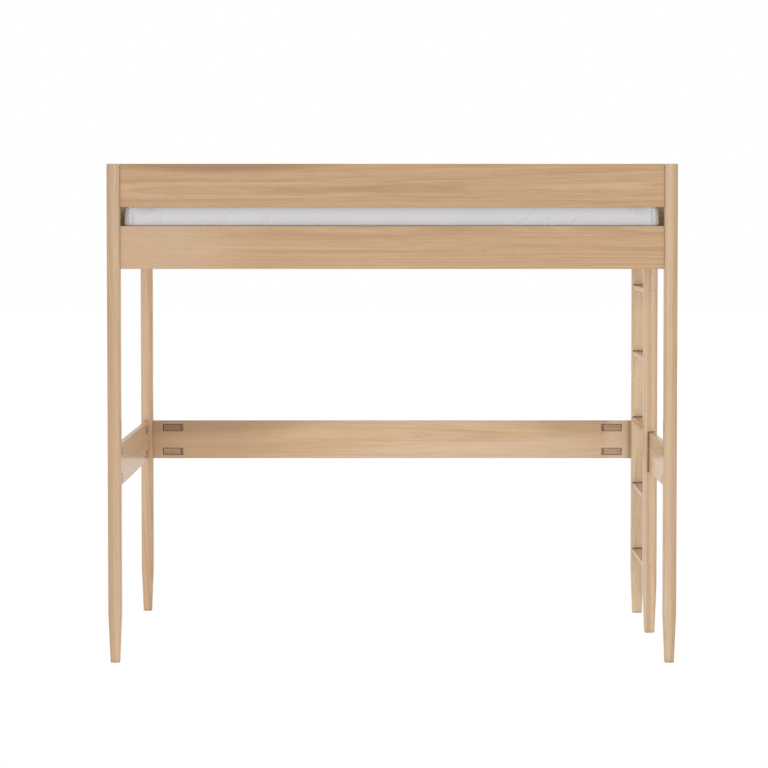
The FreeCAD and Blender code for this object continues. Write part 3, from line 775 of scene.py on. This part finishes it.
def head_of(island):
    """The place and turn of one fastener's head, which is its wider end, and its length."""
    low = Vector([min(vertex.co[axis] for vertex in island) for axis in range(3)])
    high = Vector([max(vertex.co[axis] for vertex in island) for axis in range(3)])
    sides = high - low
    axis = max(range(3), key=lambda number: sides[number])
    middle = (low + high) / 2
    widest = {}
    for end in (low[axis], high[axis]):
        spoke = 0.0
        for vertex in island:
            if abs(vertex.co[axis] - end) < END_ROOM:
                offset = vertex.co - middle
                offset[axis] = 0
                spoke = max(spoke, offset.length)
        widest[end] = spoke
    head = max(widest, key=widest.get)
    middle[axis] = head
    outward = Vector((0, 0, 0))
    outward[axis] = 1 if head == high[axis] else -1
    turn = Vector((0, 0, 1)).rotation_difference(outward).to_matrix().to_4x4()
    return Matrix.Translation(middle) @ turn, sides[axis]


def joined_copies(model, name, places, reaches=()):
    """Copies of one model as one piece, each with its own reach where it has a shank."""
    made = []
    for number, place in enumerate(places):
        copy = model.copy()
        copy.data = model.data.copy()
        if reaches:
            for vertex in copy.data.vertices:
                if vertex.co.z < -MODEL_REACH / 2:
                    vertex.co.z += MODEL_REACH - reaches[number]
        copy.data.transform(place)
        bpy.context.collection.objects.link(copy)
        made.append(copy)
    bpy.data.objects.remove(model)
    select_only(*made)
    bpy.ops.object.join()
    made[0].name = name
    return made[0]


def cut_away(piece, cutter):
    """Cut one model out of another and remove the cutter."""
    recess = piece.modifiers.new("Recess", "BOOLEAN")
    recess.operation = "DIFFERENCE"
    recess.solver = "EXACT"
    recess.object = cutter
    apply_modifier(piece, recess)
    bpy.data.objects.remove(cutter)


def socket_bolt(sizes):
    """A bolt with its head's face at the origin, a rounded rim and a hexagon socket."""
    deselect_all()
    bpy.ops.mesh.primitive_cylinder_add(
        vertices=32, radius=sizes.bolt_head / 2, depth=sizes.bolt_head_height)
    bolt = bpy.context.object
    with editing(bolt):
        bpy.ops.transform.translate(value=(0, 0, -sizes.bolt_head_height / 2))
        select_edges(bolt, lambda a, b: min(a.z, b.z) > -END_ROOM)
        bpy.ops.mesh.bevel(offset=sizes.rim_bevel, segments=3, affect="EDGES")
        select_faces(bolt, lambda face: face.normal.z < -FACING)
        bpy.ops.mesh.inset(thickness=(sizes.bolt_head - sizes.bolt_shank) / 2)
        extrude_up(sizes.bolt_head_height - MODEL_REACH)
    deselect_all()
    bpy.ops.mesh.primitive_cylinder_add(
        vertices=6, radius=sizes.socket_width / 2 / math.cos(math.radians(30)), depth=2 * sizes.socket_depth)
    cut_away(bolt, bpy.context.object)
    bpy.ops.object.shade_smooth_by_angle(angle=math.radians(35))
    return bolt


def cross_screw(sizes):
    """A pointed screw with its countersunk head's face at the origin, and a cross recess."""
    deselect_all()
    bpy.ops.mesh.primitive_cone_add(
        vertices=24, radius1=sizes.screw_shank / 2, radius2=sizes.screw_head / 2,
        depth=sizes.screw_head_height)
    screw = bpy.context.object
    with editing(screw):
        bpy.ops.transform.translate(value=(0, 0, -sizes.screw_head_height / 2))
        select_faces(screw, lambda face: face.normal.z < -FACING)
        extrude_up(sizes.screw_head_height + sizes.screw_tip - MODEL_REACH)
        extrude_up(-sizes.screw_tip)
        bpy.ops.transform.resize(value=(TIP_SHARE, TIP_SHARE, 1))
    for slot_size in ((sizes.cross_length, sizes.cross_width), (sizes.cross_width, sizes.cross_length)):
        cut_away(screw, new_box("slot", (*slot_size, 2 * sizes.cross_depth)))
    bpy.ops.object.shade_smooth_by_angle(angle=math.radians(35))
    return screw


def plated_steel(title, tint, roughness):
    """Plated steel: a soft metal shine with faint patches where the plating varies."""
    material, tree, surface = new_material(title, Metallic=1.0)
    place = add_node(tree, "TexCoord").outputs["Object"]
    patches = add_node(tree, "TexNoise", {"Vector": place, "Scale": per_metre(4), "Detail": 3.0})
    uneven(tree, surface, patches.outputs["Fac"], tint, tones=(-0.15, 0.08),
           roughness=(roughness - 0.08, roughness + 0.1))
    return material


def moulded_nylon(sizes):
    """Moulded nylon: an even brown with a fine spark-eroded grain and a waxy shine."""
    material, tree, surface = new_material("Nylon moulded brown", IOR=1.53, Specular_IOR_Level=0.4)
    place = add_node(tree, "TexCoord").outputs["Object"]
    pits = add_node(tree, "TexNoise", {"Vector": place, "Scale": per_metre(0.8), "Detail": 2.0})
    grain = pits.outputs["Fac"]
    uneven(tree, surface, grain, sizes.nylon, tones=(-0.1, 0.1), roughness=(0.45, 0.6))
    relief = add_node(tree, "Bump", {"Strength": 0.3, "Distance": 0.05 * MM, "Height": grain})
    tree.links.new(relief.outputs[0], surface.inputs["Normal"])
    return material


class LOFT_BED_OT_mattress(bpy.types.Operator):
    """Model the mattress in its fitted cotton cover"""

    bl_idname = "loft_bed.mattress"
    bl_label = "Mattress"

    def execute(self, context):
        sizes = context.scene.loft_bed_mattress
        low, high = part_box("mattress")
        piece = mattress_block(low, high, sizes)
        swell(piece, low.z, sizes)
        fit_cover(piece, low, high, sizes)
        refine_cover(piece, low, high, sizes)
        sew_cover(piece, low, high, sizes)
        finish_with(piece, cotton_cover(sizes), mattress_ticking(sizes))
        show_ticking(piece, low, high, sizes)
        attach(piece, "mattress")
        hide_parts("mattress")
        return {"FINISHED"}


def mattress_block(low, high, sizes):
    """A block with round corners and edges, cut into even quads, a little under size."""
    small_low = low + Vector((sizes.slack, sizes.slack, 0))
    small_high = high - Vector((sizes.slack, sizes.slack, sizes.slack))
    piece = new_box("mattress_in_cover", small_high - small_low, (small_low + small_high) / 2)
    rounds = (
        (sizes.corner_radius, lambda a, b: abs(a.z - b.z) > MM),
        (sizes.top_radius, lambda a, b: min(a.z, b.z) > small_high.z - MM),
        (sizes.base_radius, lambda a, b: max(a.z, b.z) < small_low.z + MM),
    )
    with editing(piece):
        for radius, wanted in rounds:
            select_edges(piece, wanted)
            bpy.ops.mesh.bevel(offset=radius, segments=8, affect="EDGES")
    piece.data.remesh_voxel_size = sizes.voxel
    bpy.ops.object.voxel_remesh()
    bpy.ops.object.shade_smooth()
    return piece


def swell(piece, base, sizes):
    """Press the cover out from inside, with its base held flat, and limit how far it moves."""
    last_frame = 20
    rest = [vertex.co.copy() for vertex in piece.data.vertices]
    held = piece.vertex_groups.new(name="base")
    held.add([v.index for v in piece.data.vertices if v.co.z < base + sizes.base_radius / 2], 1.0, "REPLACE")
    cloth = piece.modifiers.new("Swell", "CLOTH")
    cloth.settings.use_pressure = True
    cloth.settings.uniform_pressure_force = sizes.pressure
    cloth.settings.vertex_group_mass = held.name
    cloth.settings.effector_weights.gravity = 0
    for number in range(1, last_frame + 1):
        bpy.context.scene.frame_set(number)
    apply_modifier(piece, cloth)
    bpy.context.scene.frame_set(1)
    piece.vertex_groups.clear()
    for vertex, start in zip(piece.data.vertices, rest):
        move = vertex.co - start
        if move.length > sizes.swell:
            vertex.co = start + move.normalized() * sizes.swell


def fit_cover(piece, low, high, sizes):
    """Stretch the swollen cover to the mattress's own size and a little over."""
    wanted_low = low - Vector((sizes.left_stretch, sizes.side_stretch, 0))
    wanted_high = high + Vector((sizes.right_stretch, sizes.side_stretch, 0))
    found = [[vertex.co[axis] for vertex in piece.data.vertices] for axis in range(3)]
    found_low = Vector([min(values) for values in found])
    found_high = Vector([max(values) for values in found])
    for vertex in piece.data.vertices:
        for axis in range(3):
            part = (vertex.co[axis] - found_low[axis]) / (found_high[axis] - found_low[axis])
            vertex.co[axis] = wanted_low[axis] + part * (wanted_high[axis] - wanted_low[axis])


def corner_run(place, half, sizes):
    """How far a point lies round the side from its corner's seam: below 0 on the long side."""
    inner = half - Vector((sizes.corner_radius, sizes.corner_radius, 0))
    past_x = abs(place.x) - inner.x
    past_y = abs(place.y) - inner.y
    if past_x <= 0:
        return sizes.corner_radius * (sizes.seam_turn - math.pi / 2) + past_x
    if past_y <= 0:
        return sizes.corner_radius * sizes.seam_turn - past_y
    return sizes.corner_radius * (sizes.seam_turn - math.atan2(past_y, past_x))


def inset(place, half):
    """How far a point lies in from the mattress's outline, seen from above."""
    return min(half.x - abs(place.x), half.y - abs(place.y))


# Where the cover's mesh is finer: from this height over its base, this far round a seam, past the top
# edge's start and up to this slope, and this far round the lip's middle above the rails
SIDE_START = 0.01
SEAM_ROOM = 0.014
SEAM_PAST_EDGE = 0.028
SEAM_SLOPE = 0.9
LIP_MIDDLE = 0.004
LIP_ROOM = 0.010


def refine_cover(piece, low, high, sizes):
    """Give the cover smaller faces where it is sewn or gathered, and larger ones where it is flat."""
    half = (high - low) / 2
    smooth = piece.modifiers.new("Smooth", "SUBSURF")
    smooth.levels = smooth.render_levels = 1
    apply_modifier(piece, smooth)
    seam_top = high.z - sizes.top_radius + SEAM_PAST_EDGE
    lip_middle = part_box("front_side_rail")[1].z + LIP_MIDDLE

    def past_hem(face):
        return inset(face.calc_center_median(), half) - sizes.hem

    def on_side_or_hem(face):
        if face.normal.z < -FACING:
            return abs(past_hem(face)) < sizes.hem_room
        return face.normal.z < FACING and face.calc_center_median().z > low.z + SIDE_START

    def near_seam_or_lip(face):
        centre = face.calc_center_median()
        near_seam = abs(corner_run(centre, half, sizes)) < SEAM_ROOM and centre.z < seam_top
        near_lip = abs(face.normal.y) > FACING and abs(centre.z - lip_middle) < LIP_ROOM
        return near_seam and abs(face.normal.z) < SEAM_SLOPE or near_lip

    def in_flat(face):
        return face.normal.z < -FACING and past_hem(face) > sizes.hem_room

    with editing(piece):
        for wanted in (on_side_or_hem, near_seam_or_lip):
            select_faces(piece, wanted)
            bpy.ops.mesh.subdivide(number_cuts=1, smoothness=0.5)
        select_faces(piece, in_flat)
        bpy.ops.mesh.decimate(ratio=sizes.flat_share)


# Shares of a normal along Z over which the seams, the long creases of the top and the waves fade
SIDE_FADE = (0.75, 0.97)
PULL_FADE = (0.6, 0.9)
WAVE_FADE = (0.5, 0.9)

# Folded allowance beside a seam: its height, its place and its width as shares of the seam's own
ALLOWANCE_SHARES = (0.3, 2.6, 1.6)

# Folds at a corner: the run where each starts and how far it falls, then how far above the top
# edge's start they begin, the run where they end, how their line bends, the parts of it where they
# fade in and out, and their share on each side of the seam
FOLDS = tuple((-0.030 - 0.015 * number, 0.012 + 0.011 * number) for number in range(4))
FOLD_RISE = 0.014
FOLD_END = 0.004
FOLD_BEND = 1.6
FOLD_FADE_IN = (-0.3, 0.1)
FOLD_FADE_OUT = (0.85, 1.2)
FOLD_SIDE_SHARES = ((1, 1.0), (-1, 0.7))

# Creases in the sides: place along X, side, depth and lean of those listed one by one, then the number on
# each side and the ranges for the others, their middle's height over the rails, which is also their
# reach, how far a lean of 1 slants them, and how near to the outline they lie
PLACED_CREASES = [(0.245, -1, 0.8, 0.9), (0.472, -1, 1.3, 1.9), (0.552, -1, 1.0, 1.6), (0.655, -1, 1.2, 1.1)]
OTHER_CREASES = 9
CREASE_PLACES = (-0.85, 0.85)
CREASE_DEPTHS = (0.35, 1.0)
CREASE_LEANS = (0.5, 1.3)
CREASE_HEIGHT = 0.028
CREASE_SLANT = 0.45
CREASE_ROOM = 0.03

# Long creases in the top: how far in from a corner they start, their number at each, and the
# ranges of their turn in degrees, reach and depth, where they fade, and their width at both ends
PULL_INSET = 0.02
PULLS_AT_CORNER = 5
PULL_TURNS = (8, 82)
PULL_REACHES = (0.22, 0.60)
PULL_DEPTHS = (0.4, 1.0)
PULL_FADE_IN = (0.0, 0.25)
PULL_FADE_OUT = (0.4, 1.0)
PULL_WIDTHS = (0.6, 1.4)

# Lip over the rails: the heights above them where it swells and leans in again, how far from the
# ends it does so, and the share of a normal along Y that has it
LIP_SWELLS = (-0.004, 0.005)
LIP_LEANS = (0.036, 0.078)
LIP_ENDS = (0.02, 0.07)
LIP_SLOPE = 0.5

# Waves in the cloth: their height, their number in a metre along X, Y and Z, and their start
WAVES = ((1.0, (5.0, 7.0, 9.0), 0), (0.5, (13.0, 15.0, 6.0), 4))

# Hem under the mattress: the step to the ticking and half its width, and the gathers' pitch, depth,
# distance from the hem, width and how unevenly they follow each other
HEM_STEP = 0.0014
HEM_EDGE = 0.002
GATHER_PITCH = 0.024
GATHER_DEPTH = 0.0009
GATHER_INSET = 0.008
GATHER_WIDTH = 0.012
GATHER_WANDER = 2
GATHER_WANDERS_PER_METRE = 20


def sew_cover(piece, low, high, sizes):
    """Sink the corner seams, draw folds in to them, crease the sides and top, and gather the hem."""
    half = (high - low) / 2
    top = high.z - sizes.top_radius
    rail_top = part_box("front_side_rail")[1].z
    draw = random.Random(3)
    creases = side_creases(draw)
    pulls = corner_pulls(draw, half)
    moves = []
    for vertex in piece.data.vertices:
        place, normal = vertex.co, vertex.normal
        run = corner_run(place, half, sizes)
        over_rail = place.z - rail_top
        on_side = 1 - ramp(abs(normal.z), *SIDE_FADE)
        move = on_side * seam_move(run, sizes) + fold_move(run, top - place.z, sizes)
        if abs(normal.z) < FACING and abs(place.y) > half.y - CREASE_ROOM:
            move += crease_move(place, over_rail - CREASE_HEIGHT, creases, sizes)
        if normal.z > PULL_FADE[0]:
            move += ramp(normal.z, *PULL_FADE) * pull_move(place, pulls, sizes)
        if abs(normal.y) > LIP_SLOPE:
            move += on_side * lip_move(over_rail, half.x - abs(place.x), sizes)
        move += (1 - ramp(-normal.z, *WAVE_FADE)) * wave_move(place, sizes)
        if normal.z < -FACING:
            move += hem_move(place, half, sizes)
        moves.append(normal * move)
    for vertex, move in zip(piece.data.vertices, moves):
        vertex.co += move
    piece.data.update()


def side_creases(draw):
    """Soft creases that lean across the long sides."""
    drawn = [
        (draw.uniform(*CREASE_PLACES), side, draw.uniform(*CREASE_DEPTHS), draw.uniform(*CREASE_LEANS))
        for side in (-1, 1) for _ in range(OTHER_CREASES)
    ]
    return drawn + PLACED_CREASES


def corner_pulls(draw, half):
    """Long creases of the top: the corner that each draws in to, its direction, reach and depth."""
    pulls = []
    for side_x in (-1, 1):
        for side_y in (-1, 1):
            corner = Vector((side_x * (half.x - PULL_INSET), side_y * (half.y - PULL_INSET)))
            for _ in range(PULLS_AT_CORNER):
                turn = math.radians(draw.uniform(*PULL_TURNS))
                away = Vector((-side_x * math.cos(turn), -side_y * math.sin(turn)))
                pulls.append((corner, away, draw.uniform(*PULL_REACHES), draw.uniform(*PULL_DEPTHS)))
    return pulls


def seam_move(run, sizes):
    """A seam sinks, and its folded allowance stands proud beside it."""
    height, place, width = ALLOWANCE_SHARES
    proud = height * bell(run - place * sizes.seam_width, width * sizes.seam_width)
    return sizes.seam_depth * (proud - bell(run, sizes.seam_width))


def fold_move(run, below_edge, sizes):
    """Folds start at the top edge and draw down to the seam."""
    move = 0.0
    for start, drop in FOLDS:
        down = (below_edge + FOLD_RISE) / (drop + FOLD_RISE)
        if FOLD_FADE_IN[0] < down < FOLD_FADE_OUT[1]:
            line = start + (FOLD_END - start) * max(0.0, down) ** FOLD_BEND
            fade = ramp(down, *FOLD_FADE_IN) * (1 - ramp(down, *FOLD_FADE_OUT))
            for side, part in FOLD_SIDE_SHARES:
                move -= part * fade * sizes.fold_depth * bell(side * run - line, sizes.fold_width)
    return move


def crease_move(place, rise, creases, sizes):
    """Soft creases lean across a side and fade above and below their middle."""
    move = 0.0
    for x, side, depth, lean in creases:
        if side * place.y > 0:
            distance = place.x - x - CREASE_SLANT * lean * rise
            move -= depth * bell(distance, sizes.crease_width)
    return sizes.crease_depth * bell(rise, CREASE_HEIGHT) * move


def pull_move(place, pulls, sizes):
    """On the top, long creases draw in to the corners and widen away from them."""
    move = 0.0
    narrow, wide = PULL_WIDTHS
    for corner, away, reach, depth in pulls:
        out = place.xy - corner
        along = out.dot(away) / reach
        if 0 < along < 1:
            fade = ramp(along, *PULL_FADE_IN) * (1 - ramp(along, *PULL_FADE_OUT))
            width = sizes.pull_width * (narrow + (wide - narrow) * along)
            move -= depth * sizes.pull_depth * fade * bell(out.cross(away), width)
    return move


def lip_move(over_rail, from_end, sizes):
    """Over the side rails the filling pushes the long sides out, and they lean in again above."""
    lean_in = ramp(over_rail, *LIP_LEANS) * ramp(from_end, *LIP_ENDS)
    return sizes.lip * ramp(over_rail, *LIP_SWELLS) * (1 - lean_in)


def wave_move(place, sizes):
    """Gentle waves lie all over the cloth."""
    wave = 0.0
    for height, (along_x, along_y, along_z), start in WAVES:
        spot = Vector((place.x * along_x + start, place.y * along_y, place.z * along_z))
        wave += height * noise.noise(spot)
    return sizes.ripple * wave


def hem_move(place, half, sizes):
    """Under the mattress the cover ends in a gathered hem, and the ticking lies inside it."""
    past_hem = inset(place, half) - sizes.hem
    move = -HEM_STEP * ramp(past_hem, -HEM_EDGE, HEM_EDGE)
    if past_hem < 0:
        along = place.x if half.y - abs(place.y) < half.x - abs(place.x) else place.y
        wander = GATHER_WANDER * noise.noise(place * GATHER_WANDERS_PER_METRE)
        gather = 0.5 + 0.5 * math.sin(along * 2 * math.pi / GATHER_PITCH + wander)
        move -= GATHER_DEPTH * gather * bell(past_hem + GATHER_INSET, GATHER_WIDTH)
    return move


def show_ticking(piece, low, high, sizes):
    """Give the faces inside the hem the mattress's own cloth."""
    half = (high - low) / 2
    for face in piece.data.polygons:
        face.material_index = int(face.normal.z < -FACING and inset(face.center, half) > sizes.hem)


def woven(tree, surface, thread_mm, height_mm):
    """Link a plain weave to a cloth's surface: ribs along each axis, so every side has two."""
    place = add_node(tree, "TexCoord").outputs["Object"]
    # A wave texture of scale 1 repeats every pi / 10, and a wave takes up two threads
    rib_scale = per_metre(thread_mm) / 20 * math.pi
    ribs = None
    for direction in "XYZ":
        rib = add_node(tree, "TexWave", {
            "Vector": place, "Scale": rib_scale, "Distortion": 1.2, "Detail": 1.0, "Detail Scale": 0.6},
            bands_direction=direction).outputs["Fac"]
        ribs = rib if ribs is None else add_node(tree, "Math", {0: ribs, 1: rib}, operation="ADD").outputs[0]
    relief = add_node(tree, "Bump", {"Strength": 0.35, "Distance": height_mm * MM, "Height": ribs})
    tree.links.new(relief.outputs[0], surface.inputs["Normal"])
    return place


def cotton_cover(sizes):
    """Cotton percale, plain woven and washed: dull white, faintly uneven, with a fine thread."""
    material, tree, surface = new_material(
        "Cotton percale washed white", Specular_IOR_Level=0.15, Sheen_Weight=0.08, Sheen_Roughness=0.5)
    # Percale has about 40 threads to the centimetre, drawn ten times coarser so that they show
    place = woven(tree, surface, thread_mm=2.4, height_mm=0.12)
    clouds = add_node(tree, "TexNoise", {"Vector": place, "Scale": per_metre(120), "Detail": 3.0})
    uneven(tree, surface, clouds.outputs["Fac"], sizes.cover, tones=(-0.03, 0.02), roughness=(0.82, 0.96))
    return material


def mattress_ticking(sizes):
    """Polyester knit ticking: warmer and thicker than the cover, with a soft rib."""
    material, tree, surface = new_material("Polyester knit ticking", Specular_IOR_Level=0.2, Roughness=0.9)
    place = woven(tree, surface, thread_mm=5.0, height_mm=0.4)
    clouds = add_node(tree, "TexNoise", {"Vector": place, "Scale": per_metre(25), "Detail": 2.0})
    uneven(tree, surface, clouds.outputs["Fac"], sizes.ticking, tones=(-0.06, 0.0))
    return material


# Lamps: the setting with their watts, their place, the degrees by which they are tipped up from
# facing down, and their width and height. Far and wide ones light front and back alike, and two
# panels make up what the mattress keeps from under the bed
LAMPS = (
    ("key", (0, -14.0, 2.3), 90, (12.0, 4.4)),
    ("back_key", (0, 14.0, 2.3), -90, (12.0, 4.4)),
    ("floor_fill", (0, -0.6, 0.004), 180, (6.0, 5.0)),
    ("front_fill", (0, -0.47, 0.72), 90, (1.9, 1.25)),
)

# The floor's size and glow, the camera's sensor and far limit, and where the walls turn into the roof,
# by a direction's upward share
FLOOR_SIZE = 60
GLOW_STRENGTH = 1.06
SENSOR_MM = 36
FAR_LIMIT = 200
ROOF_EDGE = (0.45, 0.85)


class LOFT_BED_OT_stage(bpy.types.Operator):
    """Set the floor, the white surroundings, the lamps and the camera"""

    bl_idname = "loft_bed.stage"
    bl_label = "Stage"

    def execute(self, context):
        look = context.scene.loft_bed_stage
        deselect_all()
        bpy.ops.mesh.primitive_plane_add(size=FLOOR_SIZE)
        floor = bpy.context.object
        floor.name = "floor"
        finish_with(floor, floor_paint(look))
        white_surroundings(context.scene, look)
        for setting, place, tip, sides in LAMPS:
            bpy.ops.object.light_add(type="AREA", location=place, rotation=(math.radians(tip), 0, 0))
            lamp = bpy.context.object
            lamp.data.shape = "RECTANGLE"
            lamp.data.size, lamp.data.size_y = sides
            lamp.data.energy = getattr(look, setting)
            # The lacquer mirrors the white surroundings and not the lamps
            lamp.visible_camera = lamp.visible_glossy = False
        bpy.ops.object.camera_add(location=(0, -look.distance, look.height))
        camera = bpy.context.object
        camera.rotation_euler = (math.radians(90) - look.tilt, 0, 0)
        camera.data.lens = look.lens_mm
        camera.data.sensor_width = SENSOR_MM
        camera.data.shift_x = look.shift_x
        camera.data.shift_y = look.shift_y
        camera.data.clip_end = FAR_LIMIT
        context.scene.camera = camera
        context.scene.view_settings.view_transform = "Standard"
        return {"FINISHED"}


def seen_ray(tree):
    """A socket that is 1 for rays from the camera, a mirror or glass, and 0 for light."""
    path = add_node(tree, "LightPath")
    seen = path.outputs["Is Camera Ray"]
    for kind in ("Is Glossy Ray", "Is Transmission Ray"):
        seen = add_node(tree, "Math", {0: seen, 1: path.outputs[kind]}, operation="MAXIMUM").outputs[0]
    return seen


def floor_paint(look):
    """Matt white floor paint that keeps a faint shadow where the camera sees it."""
    material, tree, surface = new_material("Matt floor paint", Roughness=1.0, Specular_IOR_Level=0.0)
    surface.inputs["Base Color"].default_value = shade(look.floor)
    glow = add_node(tree, "Emission", {"Strength": GLOW_STRENGTH})
    faint = add_node(tree, "Math", {0: seen_ray(tree), 1: look.floor_glow}, operation="MULTIPLY")
    both = add_node(tree, "MixShader", {0: faint.outputs[0], 1: surface.outputs[0], 2: glow.outputs[0]})
    tree.links.new(both.outputs[0], tree.nodes["Material Output"].inputs["Surface"])
    return material


def white_surroundings(scene, look):
    """A white tent: strength 1 to the camera and in reflections, a plain level as light."""
    scene.world = bpy.data.worlds.new("White surroundings")
    scene.world.use_nodes = True
    tree = scene.world.node_tree
    direction = add_node(tree, "SeparateXYZ", {0: add_node(tree, "TexCoord").outputs["Generated"]})
    wall_top, roof_start = ROOF_EDGE
    tent = add_node(tree, "MapRange", {
        "Value": direction.outputs[2], "From Min": wall_top, "From Max": roof_start,
        "To Min": look.wall, "To Max": look.roof}, interpolation_type="SMOOTHSTEP")
    level = add_node(tree, "Mix", {0: seen_ray(tree), 2: tent.outputs[0], 3: 1.0})
    background = tree.nodes["Background"]
    background.inputs["Color"].default_value = (1, 1, 1, 1)
    tree.links.new(level.outputs[0], background.inputs["Strength"])


class LOFT_BED_PT_finish(bpy.types.Panel):
    """Lists the steps that finish the bed"""

    bl_label = "Loft Bed Finish"
    bl_idname = "LOFT_BED_PT_finish"
    bl_space_type = "VIEW_3D"
    bl_region_type = "UI"
    bl_category = "Loft Bed"

    def draw(self, context):
        for step in STEPS:
            self.layout.operator(step.bl_idname)


GROUPS = {
    "loft_bed_oak": LoftBedOak,
    "loft_bed_covers": LoftBedCovers,
    "loft_bed_slats": LoftBedSlats,
    "loft_bed_hardware": LoftBedHardware,
    "loft_bed_mattress": LoftBedMattress,
    "loft_bed_stage": LoftBedStage,
}
STEPS = (
    LOFT_BED_OT_oak_frame,
    LOFT_BED_OT_pocket_covers,
    LOFT_BED_OT_slat_base,
    LOFT_BED_OT_straps,
    LOFT_BED_OT_fasteners,
    LOFT_BED_OT_mattress,
    LOFT_BED_OT_stage,
)


def register():
    for name, group in GROUPS.items():
        bpy.utils.register_class(group)
        setattr(bpy.types.Scene, name, PointerProperty(type=group))
    for step in STEPS + (LOFT_BED_PT_finish,):
        bpy.utils.register_class(step)


def unregister():
    for step in reversed(STEPS + (LOFT_BED_PT_finish,)):
        bpy.utils.unregister_class(step)
    for name, group in GROUPS.items():
        delattr(bpy.types.Scene, name)
        bpy.utils.unregister_class(group)


def main():
    register()
    bpy.ops.loft_bed.oak_frame()
    bpy.ops.loft_bed.pocket_covers()
    bpy.ops.loft_bed.slat_base()
    bpy.ops.loft_bed.straps()
    bpy.ops.loft_bed.fasteners()
    bpy.ops.loft_bed.mattress()
    bpy.ops.loft_bed.stage()


if __name__ == "__main__":
    main()
